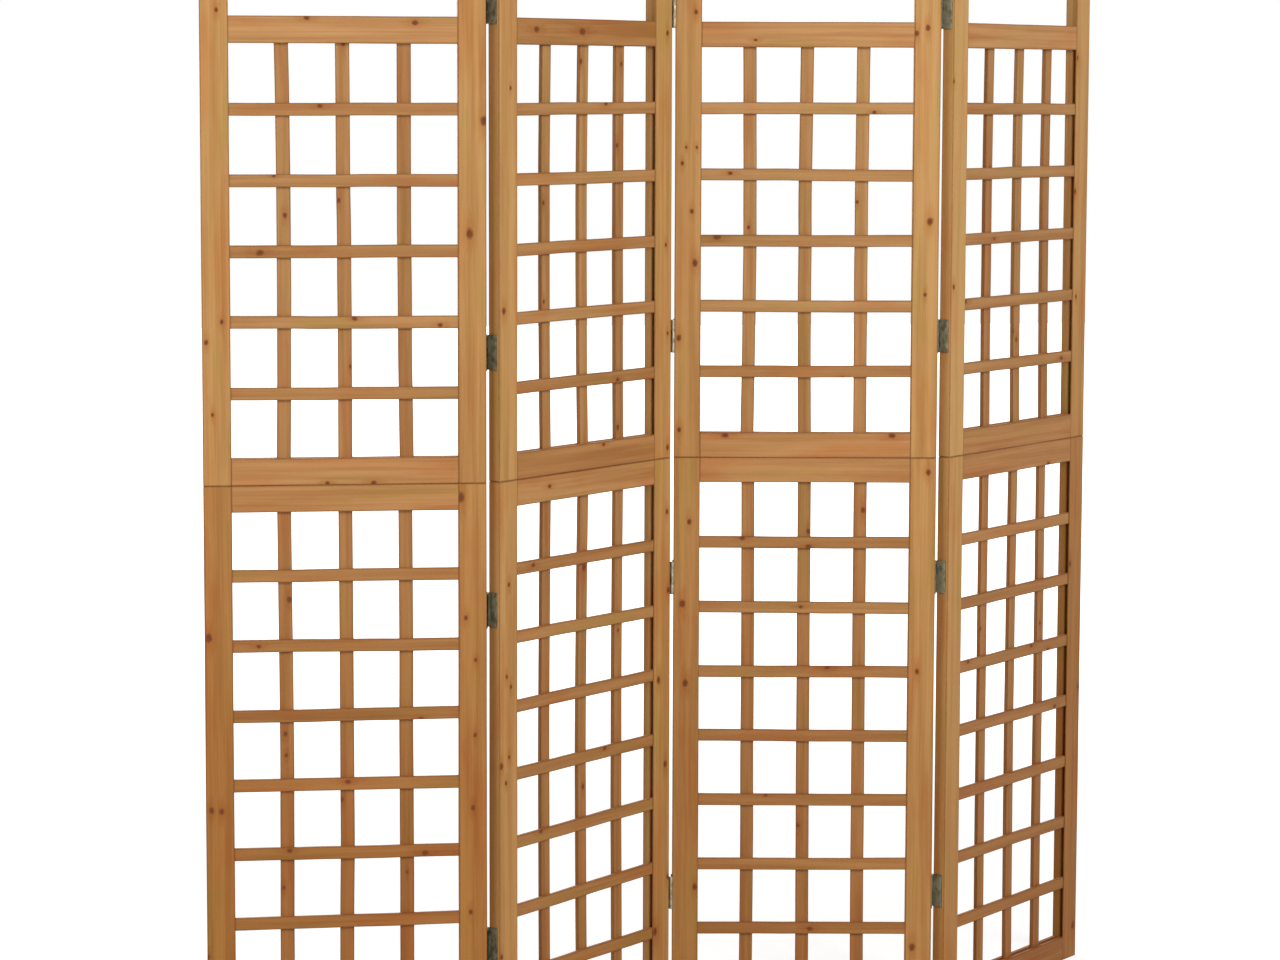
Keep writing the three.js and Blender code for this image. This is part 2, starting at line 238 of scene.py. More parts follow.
class Nodes:
    """The node tree of one material or of the world."""

    def __init__(self, owner):
        owner.use_nodes = True
        self.tree = owner.node_tree
        self.tree.nodes.clear()

    def node(self, kind, settings=None, inputs=None):
        """A node of that type; inputs are plain values, sockets or Values, by name or place."""
        made = self.tree.nodes.new(f"ShaderNode{kind}")
        for name, value in (settings or {}).items():
            setattr(made, name, value)
        for key, value in (inputs or {}).items():
            socket = made.inputs[key]
            if isinstance(value, Value):
                value = value.socket
            if isinstance(value, bpy.types.NodeSocket):
                self.tree.links.new(value, socket)
            else:
                socket.default_value = value
        return made

    def value(self, kind, settings=None, inputs=None, output=0):
        return Value(self, self.node(kind, settings, inputs).outputs[output])

    def vector(self, x, y, z):
        return self.value("CombineXYZ", None, {0: x, 1: y, 2: z})

    def attribute(self, name, output):
        return self.value("Attribute", {"attribute_name": name}, None, output)

    def parts(self, vector):
        """The three numbers of a vector."""
        split = self.node("SeparateXYZ", None, {0: vector})
        return [Value(self, socket) for socket in split.outputs]

    def noise(self, vector, detail=2.0, roughness=0.5):
        """Smooth noise from 0 to 1 with its grains one unit across."""
        return self.value(
            "TexNoise", {"noise_dimensions": "3D"},
            {"Vector": vector, "Scale": 1.0, "Detail": detail, "Roughness": roughness},
            "Fac",
        )

    def ramp(self, value, low, high):
        """0 below low, 1 above high and smooth between; high may be the smaller one."""
        return self.value(
            "MapRange", {"interpolation_type": "SMOOTHSTEP"},
            {"Value": value, "From Min": low, "From Max": high},
        )

    def mix(self, factor, first, second, blend="MIX"):
        """Two colours mixed; colours are Values or red, green and blue."""
        first, second = (
            part if isinstance(part, Value) else (*part, 1.0) for part in (first, second)
        )
        return self.value(
            "Mix", {"data_type": "RGBA", "blend_type": blend},
            {0: factor, 6: first, 7: second}, 2,
        )

    def glow(self, kind, colour, strength):
        """A shader that gives off light: Emission on a surface or Background in the world."""
        return self.node(kind, None, {"Color": colour, "Strength": strength})

    def either(self, share, first, second):
        """Two shaders mixed by the share of the second."""
        inputs = {0: share, 1: first.outputs[0], 2: second.outputs[0]}
        return self.node("MixShader", None, inputs)

    def surface(self, shader):
        self.node("OutputMaterial", None, {"Surface": shader.outputs[0]})

    def hypotenuse(self, across, along):
        return (across * across + along * along).math("SQRT")

    def relief_surface(self, strength, distance, height, inputs):
        """The material's one glossy shader, with a height that bends its light."""
        relief = {"Strength": strength, "Distance": distance, "Height": height}
        bump = self.node("Bump", None, relief)
        inputs = {**inputs, "Normal": bump.outputs[0]}
        self.surface(self.node("BsdfPrincipled", None, inputs))


# ---- Finishes -------------------------------------------------------------------------------

RING_PITCH = 3.6 * MM  # growth rings
RING_WANDER = 6 * MM
KNOT_STRETCH = 0.75  # knots are drawn out along the grain by one over this

# Noise in the wood, as grains in each metre along a board and across it.
RAGGED_GRAINS = (190, 190)
DRIFT_GRAINS = (2.4, 9)
FIBRE_GRAINS = (12, 800)
STREAK_GRAINS = (2.6, 85)
PATCH_GRAINS = (6, 26)

# What the wood's colour is multiplied by, where each of them is full.
WARM_PATCH = (0.97, 0.82, 0.70)
GREEN_PATCH = (0.90, 0.98, 0.80)
# Painted shade: the boards made darker and browner towards the floor.
LOW_SHADE_TINT = (0.75, 0.58, 0.37)
KNOT_HALO = (0.86, 0.62, 0.38)

# Noise in the plating, as grains in each metre of x, y and z.
CLOUD_GRAINS = (160, 160, 90)
SCRATCH_GRAINS = (2400, 2400, 300)
CLOUD_SHADE, SPOT_SHADE = 0.5, 0.22  # what they leave of the plating's colour

# Where each mask starts and where it is full: in knot radii, or in noise from 0 to 1.
HEART, HALO = (1.7, 0.6), (3.4, 0.6)
LATE_WOOD, STREAK = (1.0, 0.9), (0.32, 0.7)
WARM, GREEN = (0.48, 0.68), (0.48, 0.3)
CLOUD, SPOT = (0.35, 0.62), (0.60, 0.75)

# Strength of the relief and how high it stands.
FIR_RELIEF = (0.4, 0.25 * MM)
ZINC_RELIEF = (0.25, 0.08 * MM)


def fir(name, light, dark, knot):
    """Oiled fir, read from attributes that each board carries.

    grain holds the metres along, across and through the tree, board the board's own depth of
    colour (with painted shade added on the upright slats), the share of painted shade that
    makes it darker and browner towards the floor, and how deep the point lies inside, edge the
    dirt at corners and dark joints at ends with painted shade in the slat grooves, and
    knot_near and knot_next the nearest two knots as (along, across, radius).
    """
    made = bpy.data.materials.new(name)
    n = Nodes(made)
    along, across, through = n.parts(n.attribute("grain", "Vector"))
    tone, low_shade, inside = n.parts(n.attribute("board", "Vector"))
    edge = n.attribute("edge", "Fac")

    def noise(grains, detail=2.0, roughness=0.5):
        lengthwise, crosswise = grains
        place = n.vector(along * lengthwise, across * crosswise, through * crosswise)
        return n.noise(place, detail, roughness)

    # Knots: a dark heart and a wide halo that bends the rings.
    ragged = noise(RAGGED_GRAINS)
    heart, halo = 0.0, 0.0
    for spot in ("knot_near", "knot_next"):
        knot_along, knot_across, size = n.parts(n.attribute(spot, "Vector"))
        off_along = (along - knot_along) * KNOT_STRETCH
        off_across = across - knot_across
        reach = n.hypotenuse(off_along, off_across) + inside
        reach = reach * (ragged * 0.9 + 0.55) / size
        heart = n.ramp(reach, *HEART).math("MAXIMUM", heart)
        drawn = (off_along * off_along * 0.2 + off_across * off_across).math("SQRT") + inside
        halo = n.ramp(drawn / size, *HALO).math("MAXIMUM", halo)

    # Growth rings: distance from the tree's middle, bent by slow noise and by the knots.
    rings = n.hypotenuse(across, through)
    rings = rings + (noise(DRIFT_GRAINS) - 0.5) * (2 * RING_WANDER) + halo * (1.2 * RING_PITCH)
    phase = (rings / RING_PITCH).math("FRACT")
    late = phase ** 2.2 * n.ramp(phase, *LATE_WOOD)
    fibre = noise(FIBRE_GRAINS, roughness=0.6)
    streak = noise(STREAK_GRAINS, 3.0, 0.6)
    patch = noise(PATCH_GRAINS, 3.0)

    depth = n.ramp(streak, *STREAK) * 0.55 + late * 0.16 + fibre * 0.15
    depth = depth + (tone - 0.5) * 0.6
    wood = n.mix(depth, light, dark)
    # The patches, the painted shade towards the floor and the knots' halos multiply the colour.
    for factor, stain in (
        (n.ramp(patch, *WARM) * 0.9, WARM_PATCH),
        (n.ramp(patch, *GREEN) * 0.9, GREEN_PATCH),
        (low_shade, LOW_SHADE_TINT),
        (halo * 0.6, KNOT_HALO),
    ):
        wood = n.mix(factor, wood, stain, "MULTIPLY")
    wood = n.mix(heart * (ragged * 0.5 + 0.75), wood, knot)
    # Dirt at corners and dark joints at ends, and painted shade in the slat grooves, in the
    # knot's colour.
    wood = n.mix(edge * (ragged * 0.5 + 0.25), wood, knot)

    gloss = fibre * 0.14 + heart * 0.1 + 0.5
    n.relief_surface(
        *FIR_RELIEF, late * 0.5 + fibre * 0.6 + heart * 0.6,
        {"Base Color": wood, "Roughness": gloss, "Specular IOR Level": 0.3},
    )
    return made


def zinc(name, colour):
    """Dull zinc plating: cloudy colour, fine scratches and darker spots."""
    made = bpy.data.materials.new(name)
    n = Nodes(made)
    place = n.value("TexCoord", None, None, "Object")

    def noise(grains, detail):
        scaled = n.value("Mapping", None, {"Vector": place, "Scale": grains})
        return n.noise(scaled, detail, 0.6)

    cloud = noise(CLOUD_GRAINS, 3.0)
    scratch = noise(SCRATCH_GRAINS, 2.0)
    plate = n.mix(n.ramp(cloud, *CLOUD), [c * CLOUD_SHADE for c in colour], colour)
    spots = [c * SPOT_SHADE for c in colour]
    plate = n.mix(n.ramp(cloud, *SPOT) * 0.7, plate, spots)
    gloss = cloud * 0.3 + scratch * 0.1 + 0.22
    n.relief_surface(
        *ZINC_RELIEF, cloud * 0.6 + scratch * 0.5,
        {"Base Color": plate, "Metallic": 0.75, "Roughness": gloss},
    )
    return made


def finish(slot):
    """The material of that slot, made on first use from the finish settings."""
    name = f"{slot}_finish"
    found = bpy.data.materials.get(name)
    if found is not None:
        return found
    colours = bpy.context.scene.screen_finish
    if slot == "zinc_plate":
        return zinc(name, tuple(colours.zinc))
    kind = slot.split("_")[1]
    light, dark = (tuple(getattr(colours, f"{kind}_{depth}")) for depth in ("light", "dark"))
    return fir(name, light, dark, tuple(colours.knot))


# ---- What each board looks like -------------------------------------------------------------

# Knots that show, by board, as millimetres (along, across, radius).
KNOTS = {
    "cross_1_lower_2": ((279, 6, 3.2), (86, 14, 2.6)),
    "cross_1_lower_3": ((169, 12, 2.8),),
    "cross_1_lower_4": ((274, 1, 2.2),),
    "cross_1_lower_5": ((44, 9, 2.2),),
    "cross_1_upper_2": ((50, 8, 3.4),),
    "cross_1_upper_4": ((135, 13, 2.4),),
    "cross_2_lower_3": ((211, 15, 2.8),),
    "cross_2_lower_6": ((45, 10, 2.6),),
    "cross_3_lower_0": ((181, 8, 3),),
    "cross_3_lower_5": ((163, 9, 2.2),),
    "cross_3_upper_2": ((32, 15, 3.8),),
    "cross_3_upper_3": ((52, 11, 2.4),),
    "cross_4_upper_1": ((11, 15, 2.6),),
    "rail_1_upper_middle": ((109, 35, 2.6), (260, 29, 3)),
    "rail_2_upper_middle": ((42, 22, 3.4), (146, 20, 4.4)),
    "rail_2_upper_waist": ((197, 34, 2.2),),
    "rail_3_upper_waist": ((38, 34, 3.2), (292, 34, 3.4)),
    "stile_1_lower_left": ((644, 6, 4), (396, 8, 3), (394, 22, 3), (184, 1, 2.6)),
    "stile_1_lower_right": (
        (840, 3, 4.6), (667, 10, 2.4), (606, 24, 2), (497, 23, 2.2), (391, 20, 2.6),
        (239, 16, 2.4),
    ),
    "stile_1_upper_left": ((667, 24, 2.2), (232, 28, 2.2), (203, 6, 2.4), (101, 14, 1.8)),
    "stile_1_upper_right": ((514, 37, 4.4), (355, 16, 4.2)),
    "stile_2_lower_left": (
        (710, 21, 2.2), (577, 16, 2), (561, 25, 2.2), (448, 4, 3.2), (459, 21, 2),
        (422, 14, 2.2), (168, 4, 2.6),
    ),
    "stile_2_lower_right": (
        (778, 31, 2.6), (657, 35, 3), (521, 12, 3.6), (388, 29, 3.2), (211, 37, 3),
        (131, 5, 4.2),
    ),
    "stile_2_upper_left": ((560, 25, 2), (244, 10, 3.2)),
    "stile_2_upper_right": ((642, 28, 2.6), (324, 26, 2.4), (190, 31, 2.2), (16, 32, 2.8)),
    "stile_3_lower_left": ((761, 24, 2.8), (635, 14, 3.8), (512, 19, 3.8), (194, 35, 3)),
    "stile_3_lower_right": ((838, 28, 3), (531, 14, 2.6), (100, 11, 3.8)),
    "stile_3_upper_left": (
        (674, 31, 2.4), (471, 17, 1.6), (471, 33, 1.6), (447, 11, 2.2), (374, 26, 2.6),
        (296, 31, 3.6), (182, 7, 3), (42, 8, 2.6),
    ),
    "stile_3_upper_right": ((643, 3, 2.8), (651, 20, 3), (360, 26, 3.6), (249, 20, 2)),
    "stile_4_lower_right": ((654, 4, 3), (448, 37, 3.6), (52, 31, 4)),
    "stile_4_upper_left": ((571, 1, 2.2), (260, 7, 2.6)),
    "stile_4_upper_right": ((396, 2, 2.8), (609, 4, 2), (227, 10, 2.4)),
    "upright_1_lower_0": ((666, 15, 3), (473, 8, 2.4), (442, 9, 2.2), (250, 4, 2)),
    "upright_1_upper_0": ((351, 12, 2.6),),
    "upright_2_lower_1": ((684, 10, 3.6), (355, 8, 2.6)),
    "upright_2_upper_0": ((365, 1, 2.4), (222, 2, 2)),
    "upright_3_upper_0": ((320, 7, 2),),
    "upright_3_upper_2": ((359, 1, 2),),
}

# Boards whose colour stands out: depth of colour, 0 light and 1 dark, and the share at the
# floor of painted shade, darker and browner, which fades upwards and is full from 1 on.
TONES = {
    "rail_1_upper_middle": (0.38, 1.0),
    "rail_1_upper_waist": (0.52, 0.9),
    "rail_1_lower_waist": (0.45, 1.1),
    "rail_2_upper_middle": (1.20, 2.6),
    "rail_2_upper_waist": (0.72, 1.2),
    "rail_2_lower_waist": (0.35, 0.6),
    "rail_3_upper_middle": (0.45, 1.0),
    "rail_3_upper_waist": (0.28, 0.9),
    "rail_4_upper_middle": (0.40, 0.8),
    "rail_4_lower_bottom": (0.95, 1.2),
    "stile_1_upper_left": (0.46, 1.0),
    "stile_1_upper_right": (0.70, 1.2),
    "stile_1_lower_left": (0.66, 1.75),
    "stile_1_lower_right": (0.52, 1.55),
    "stile_2_lower_left": (0.35, 0.45),
    "stile_2_lower_right": (0.35, 0.55),
    "stile_2_upper_left": (0.36, 0.5),
    "stile_3_lower_left": (0.70, 0.8),
    "stile_3_lower_right": (0.56, 0.55),
    "stile_3_upper_left": (0.46, 1.3),
    "stile_3_upper_right": (0.38, 0.8),
    "stile_4_lower_left": (0.02, 0.75),
    "stile_4_upper_left": (-0.12, 0.3),
    "stile_4_lower_right": (0.80, 1.75),
    "cross_3_lower_6": (0.85, 1.2),
}
LOW_SHADE_SHARES = {"1": 1.45, "2": 0.9, "3": 0.9, "4": 1.1}  # that share on other boards, by panel
# Painted shade on the upright slats, which lie behind the cross slats.
UPRIGHT_SHADE = 0.22  # how much deeper the upright slats' colour is
CHANCE_TONES = (0.2, 0.8)  # depth of colour of boards that aren't listed
LOW_DOWN = 1.6  # the share of painted shade follows the depth below the top to this power
KNOT_EVERY = 0.5  # metres of board for each knot, on boards that aren't listed
KNOT_MARGIN = 0.02  # from a board's start to the first of such knots
KNOT_SIZES = (1.6 * MM, 3.0 * MM)

# How far slats stand off their true place, in millimetres, at their start, middle and end:
# up for the cross slats and along the panel for the upright ones, by row of slats.
BOWS = {
    "cross_1_lower": (
        None, (-0.5, 0.6, 1.8), (0.5, 0.4, 0.2), (-0.3, -0.6, -0.7), (-0.7, -0.5, -0.1),
        (0.1, -0.6, -1.4), (0.3, 0, -0.3),
    ),
    "cross_1_upper": (
        (0.6, 0.3, 0), (1.5, 0.8, 0.4), (0.3, 0.7, 0.8), (-0.5, -0.4, -0.1), (-0.9, -0.5, -0.1),
    ),
    "cross_2_lower": (
        None, (-0.8, -0.1, 1.3), (0.1, 0.8, 1.3), (0.9, 0.4, -0.4), (-0.4, -0.5, -0.8),
        (0.8, -0.8, -2.6), (-0.2, -1.1, -2),
    ),
    "cross_2_upper": (
        (2.3, 3, 3), (1.9, 2.1, 2.2), (-0.5, 0, 0.2), (-0.1, -0.5, -1), (-0.8, -0.1, 0.4),
    ),
    "cross_3_lower": (
        (-0.6, -0.3, 0.1), (0.1, 0.4, 1), (0.7, 0.7, 0.4), (0.9, 0.2, -0.2), (-0.3, -0.4, -0.8),
        (-0.5, -1.6, -2.3), (-0.9, -1.1, -1.3),
    ),
    "cross_3_upper": (
        (1.9, 2.3, 2.8), (1.4, 1.3, 1.3), (-0.1, 0.3, 0.7), (0.1, -0.5, -1.2), (-0.8, -0.4, 0),
    ),
    "cross_4_lower": (
        (-0.5, -0.4, -0.3), (1.2, 0.9, 0.1), (0.2, 0.3, 0.4), (0.4, 0.6, 0.5), (-1, -0.6, -0.5),
        (-2.1, -1, 0), (-2.1, -1.8, -1.6),
    ),
    "cross_4_upper": (
        (3, 2.9, 2.5), (1.5, 1.5, 1.2), (0.5, 0, -0.4), (0.3, -0.3, -1), (0, -1.9, -3),
    ),
    "upright_1_lower": ((-1.7, -0.3, -1.8), (-2.2, 0.2, -0.3), (0, 0.6, -0.3)),
    "upright_1_upper": ((-1.7, 0.3, -1.9), (0, -0.4, -1.6), (2, -0.4, -0.3)),
    "upright_2_lower": ((-1, -4, -1.1), (0.4, -4, 0.5), (-1.3, -4, -1.8)),
    "upright_2_upper": ((-1.1, -4, -1.8), (-0.1, -4, -0.7), (-1.5, -4, -2.3)),
    "upright_3_lower": ((-1.2, -0.2, -1.6), (1.2, -0.3, -0.3), (1.1, -0.4, 0.1)),
    "upright_3_upper": ((-3.5, -1.3, -2.6), (-0.7, -2.3, -0.6), (-1.7, -2.2, -0.6)),
    "upright_4_lower": ((1.3, 0.1, 0.9), (1.7, -1, 0.9), (0.9, 0.2, -0.2)),
    "upright_4_upper": ((1.3, -0.9, 1.4), (4, -0.1, 3.5), (3.8, -0.8, 1.4)),
}
FAR_AWAY = (-10.0, 0.0, MM)  # a knot that shows nowhere

# Where a board may start in its tree: along it, and across and through from its middle.
TREE_LOW = (0, -0.06, 0.03)
TREE_HIGH = (60, 0.06, 0.09)


# ---- Board surfaces -------------------------------------------------------------------------

CORNER_STEPS = 3
BOARD_STEP = 0.02  # between sections
CUT_MARGIN = 2 * MM  # from a groove's end to the next section
WAVES = 6  # sine waves in a board's wander
SOILED = 1.3 * MM  # how far the dirt in a corner reaches onto the flat
ROOM = 2.2  # times that, the least flat that gets clean points
GROOVE_RIM_SHADE, GROOVE_FLOOR_SHADE = 0.6, 0.7  # painted shade in a groove: on its rims and in the corners of its floor
SHOULDER_GAP = 0.05 * MM  # between a rail's end and its stile
SHOULDER_DIRT = 0.3  # dirt on a rail's ends, against 1 on open edges
SHARP_ANGLE = math.radians(38)


def flat_points(length, groove):
    """Places along one flat of a section, with their darkening and their share of the groove.

    Without a groove two clean points keep the dirt near the corners. A groove adds its two
    rims and the two corners of its floor, which carry painted shade, and clean points where
    there is room for them.
    """
    if groove is None:
        return [(SOILED, 0.0, 0.0), (length - SOILED, 0.0, 0.0)]
    low, high = groove
    room = ROOM * SOILED
    before = [(SOILED, 0.0, 0.0), (low - SOILED, 0.0, 0.0)] if low > room else []
    after = []
    if length - high > room:
        after = [(high + SOILED, 0.0, 0.0), (length - SOILED, 0.0, 0.0)]
    sunk = [(low, GROOVE_FLOOR_SHADE, 1.0), (high, GROOVE_FLOOR_SHADE, 1.0)]
    return [*before, (low, GROOVE_RIM_SHADE, 0.0), *sunk, (high, GROOVE_RIM_SHADE, 0.0), *after]


def rounded_section(width, depth, radius, groove=None):
    """A rectangle with quarter circles for corners, counter-clockwise from the low corner.

    groove is (side, low, high, deep): a notch in the face at the low (-1) or high (+1) end of
    the width, between two depths. It gives the points, each one's darkening from 0 to 1, dirt
    at the corners and painted shade in the groove, and how far each one is pushed across where
    the notch is sunk.
    """
    arc = np.linspace(0, math.pi / 2, CORNER_STEPS + 1)
    corners = [(radius, radius, math.pi), (width - radius, radius, 1.5 * math.pi),
               (width - radius, depth - radius, 0.0), (radius, depth - radius, math.pi / 2)]
    arcs = [
        np.column_stack([x + radius * np.cos(start + arc), y + radius * np.sin(start + arc)])
        for x, y, start in corners
    ]
    rows = []
    for k, run in enumerate(arcs):
        rows.append(np.column_stack([run, np.ones(len(run)), np.zeros(len(run))]))
        step = arcs[(k + 1) % 4][0] - run[-1]
        length = float(np.hypot(*step))
        cut = None
        if groove is not None and k == (1 if groove[0] > 0 else 3):
            cut = (groove[1] - radius, groove[2] - radius)
            if groove[0] < 0:
                cut = (length - cut[1], length - cut[0])
        flat = np.array(flat_points(length, cut))
        pushed = flat[:, 2] * (-groove[0] * groove[3] if cut else 0.0)
        places = run[-1] + flat[:, :1] * step / length
        rows.append(np.column_stack([places, flat[:, 1], pushed]))
    rows = np.vstack(rows)
    return rows[:, :2], rows[:, 2], rows[:, 3]


def end_stations(length, radius, step):
    """Places along a board, closer at its rounded ends, how far each section is drawn in
    there, and its dirt: the ends follow a quarter circle of the radius."""
    arc = np.linspace(0, math.pi / 2, CORNER_STEPS + 1)
    near = radius * (1 - np.cos(arc))
    inset = radius * (1 - np.sin(arc))
    clean = radius + SOILED
    count = max(1, int(round((length - 2 * clean) / step)))
    body = np.linspace(clean, length - clean, count + 1)
    clear, soiled = np.zeros(len(body)), np.ones(len(arc))
    places = np.concatenate([near, body, length - near[::-1]])
    drawn = np.concatenate([inset, clear, inset[::-1]])
    return places, drawn, np.concatenate([soiled, clear, soiled])


def cut_stations(length, radius, cut):
    """A board's stations as end_stations gives them, and where its groove is sunk.

    That is 1 between the two places of the cut and 0 outside them, with two stations at each
    of the places to make the step. Without a cut the groove runs from end to end.
    """
    places, drawn, dirt = end_stations(length, radius, BOARD_STEP)
    if cut is None:
        return places, drawn, dirt, np.ones(len(places))
    low, high = cut
    keep = (np.abs(places - low) > CUT_MARGIN) & (np.abs(places - high) > CUT_MARGIN)
    places, drawn, dirt = places[keep], drawn[keep], dirt[keep]
    sunk = ((places > low) & (places < high)).astype(float)
    for step, change in ((low, (0.0, 1.0)), (high, (1.0, 0.0))):
        at = int(np.searchsorted(places, step))
        places = np.insert(places, at, (step, step))
        drawn = np.insert(drawn, at, (0.0, 0.0))
        dirt = np.insert(dirt, at, (0.0, 0.0))
        sunk = np.insert(sunk, at, change)
    return places, drawn, dirt, sunk


def parabola(share, start, middle, end):
    """The curve that has these three heights at 0, 0.5 and 1: the sum of each height times
    the parabola that is 1 at its own place and 0 at the other two."""
    return (
        start * (1 - share) * (1 - 2 * share)
        + 4 * middle * share * (1 - share)
        + end * share * (2 * share - 1)
    )


def closed_faces(rows, columns, first):
    """Quads round a grid whose columns close on themselves, and a cap at each end."""
    i = np.arange(rows - 1)[:, None] * columns
    j = np.arange(columns)[None, :]
    after = (j + 1) % columns
    quads = np.stack([i + j, i + after, i + columns + after, i + columns + j], -1)
    faces = (quads.reshape(-1, 4) + first).tolist()
    faces.append((np.arange(columns)[::-1] + first).tolist())
    faces.append((np.arange(columns) + first + (rows - 1) * columns).tolist())
    return faces


def drawn_in(section, width, depth, inset):
    """Sections pulled towards their middle by each inset, along the two sides alike."""
    middle = np.array([width, depth]) / 2
    towards = (middle - section) / middle
    limit = np.maximum(np.abs(towards).max(1, keepdims=True), 1e-9)
    return section[None] + inset[:, None, None] * (towards / limit)[None]


class Surfaces:
    """Closed surfaces gathered into one mesh."""

    def __init__(self):
        self.points = []
        self.faces = []
        self.count = 0

    def grid(self, rows, flip=False):
        """Rows of points, each a closed ring, joined in order and capped at both ends."""
        faces = closed_faces(rows.shape[0], rows.shape[1], self.count)
        self.faces.extend([face[::-1] for face in faces] if flip else faces)
        self.points.append(rows.reshape(-1, 3))
        self.count += rows.shape[0] * rows.shape[1]

    def mesh(self, name, placement, origin=(0.0, 0.0, 0.0)):
        """All of them in one mesh, moved to the origin and placed on the panel."""
        made = bpy.data.meshes.new(name)
        points = placement.to_world(np.vstack(self.points) + np.array(origin))
        made.from_pydata(points.tolist(), [], self.faces)
        return made


class Stock(Surfaces):
    """Boards gathered into one mesh, each with its own grain, colour, dirt, painted shade and
    knots.
    """

    def __init__(self, seed):
        super().__init__()
        self.random = np.random.default_rng(seed)
        self.layers = {}

    def add(self, board, size, axis, place, radius, groove=None, cut=None,
            waviness=(0.0, 0.0), bow=(0.0, 0.0, 0.0), end_dirt=1.0):
        """One board. size is (length, width, depth), axis "up" or "along" the panel.

        board is its name in the tables of knots and tones, place its low corner in the panel
        as (along, through, up). groove is as for rounded_section and cut the places along the
        board between which it is sunk. waviness is how far the board wanders across and
        through, as a sum of sine waves that die out at its ends. bow is how far it lies
        across at its start, middle and end, joined by a parabola.
        """
        length, width, depth = size
        section, side_dirt_and_shade, notch = rounded_section(width, depth, radius, groove)
        places, drawn, soiled, sunk = cut_stations(length, radius, cut)
        flat = drawn_in(section, width, depth, drawn)
        flat[:, :, 0] += sunk[:, None] * notch[None, :]
        share = places / length
        wander = self.random.uniform(0, 2 * math.pi, (WAVES, 2))
        waves = sum(
            np.sin(2 * math.pi * (k + 0.5) * share[:, None] + wander[k]) / (k + 1)
            for k in range(WAVES)
        )
        flat += (waves * np.array(waviness) * np.sin(math.pi * share)[:, None])[:, None, :]
        flat[:, :, 0] += parabola(share, *bow)[:, None]
        rows, columns = len(places), len(section)
        grid = np.concatenate(
            [np.broadcast_to(places[:, None, None], (rows, columns, 1)), flat], axis=2
        ).reshape(-1, 3)
        local = grid[:, [1, 2, 0]] if axis == "up" else grid[:, [0, 2, 1]]
        local = local + np.array(place)

        shift = self.random.uniform(TREE_LOW, TREE_HIGH)
        tone_by_chance_and_shade = self.random.uniform(*CHANCE_TONES)
        kind, panel = board.split("_")[:2]
        # The upright slats get painted shade, as they lie behind the cross slats.
        tone_by_chance_and_shade += UPRIGHT_SHADE * (kind == "upright")
        tone, low_shade = TONES.get(board, (tone_by_chance_and_shade, LOW_SHADE_SHARES[panel]))
        # Painted shade: its share grows from the top of the screen down to the floor.
        low_down = np.clip(1 - local[:, 2] / FRAME_HEIGHT / 2, 0, 1) ** LOW_DOWN
        # Knots fade away from the two faces, at twice the distance inside the board.
        inside = 2 * np.clip(np.minimum(grid[:, 2], depth - grid[:, 2]), 0, None)
        # Dirt at the corners and dark joints at the ends, with painted shade in the slat
        # grooves.
        dirt = np.maximum(side_dirt_and_shade[None, :], end_dirt * soiled[:, None])

        knots = self._knots_of(board, length, width)
        between = np.concatenate(
            [np.repeat((places[1:] + places[:-1]) / 2, columns), [0.0, length]]
        )
        nearest = np.argsort(np.abs(knots[None, :, 0] - between[:, None]), axis=1)
        knots = knots + np.array([shift[0], shift[1], 0.0])
        for layer, values in (
            ("grain", grid + shift),
            ("board", np.column_stack([np.full(len(grid), tone), low_shade * low_down, inside])),
            ("edge", dirt.reshape(-1)),
            ("knot_near", knots[nearest[:, 0]]),
            ("knot_next", knots[nearest[:, 1]]),
        ):
            self.layers.setdefault(layer, []).append(values)
        # Carrying the section along the panel instead of up mirrors it, so faces turn round.
        self.grid(local.reshape(rows, columns, 3), flip=axis != "up")

    def bow_of(self, board, lattice):
        """The slat's listed offsets at its start, middle and end, or some by chance."""
        chance = self.random.uniform(-lattice.unevenness, lattice.unevenness, 3)
        row, place = board.rsplit("_", 1)
        known = BOWS[row][int(place)]
        return chance if known is None else np.array(known) * MM

    def _knots_of(self, board, length, width):
        """The board's listed knots, or a few by chance, as rows (along, across, radius)."""
        count = self.random.poisson(length / KNOT_EVERY)
        smallest, largest = KNOT_SIZES
        chance = self.random.uniform(
            (KNOT_MARGIN, 0, smallest), (length, width, largest), (count, 3)
        )
        known = KNOTS.get(board)
        rows = chance.tolist() if known is None else (np.array(known) * MM).tolist()
        return np.array(rows + [FAR_AWAY, FAR_AWAY])

    def piece(self, name, placement, slot, node):
        """The gathered boards as one object that rides on its panel."""
        mesh = self.mesh(name, placement)
        for layer, rows in self.layers.items():
            values = np.concatenate(rows).astype(np.float32)
            kind, field = ("FLOAT_VECTOR", "vector") if values.ndim > 1 else ("FLOAT", "value")
            domain = "FACE" if layer.startswith("knot") else "POINT"
            made = mesh.attributes.new(layer, kind, domain)
            made.data.foreach_set(field, values.reshape(-1))
        finished_piece(name, mesh, placement, slot, node)


def placed(name, data):
    """A new object in the scene, at the origin."""
    made = bpy.data.objects.new(name, data)
    bpy.context.scene.collection.objects.link(made)
    return made


def finished_piece(name, mesh, placement, slot, node):
    """Puts a mesh in the scene with its finish, its body and the CAD node it stands for."""
    if mesh.validate():
        raise ValueError(f"{name} has faulty faces")
    mesh.materials.append(finish(slot))
    mesh.shade_smooth()
    mesh.set_sharp_from_angle(angle=SHARP_ANGLE)
    made = placed(name, mesh)
    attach(made, placement.body)
    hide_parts(node)


# ---- Pieces ---------------------------------------------------------------------------------


def placements():
    return [(number, Placement(number)) for number in range(1, PANELS + 1)]


def slat_groove(timber, lattice, side, behind=0.0):
    """The groove for slats that lie that far behind the cross slats, centred on them."""
    low = lattice.setback + behind - (timber.groove_width - lattice.slat_depth) / 2
    return side, low, low + timber.groove_width, timber.groove_depth


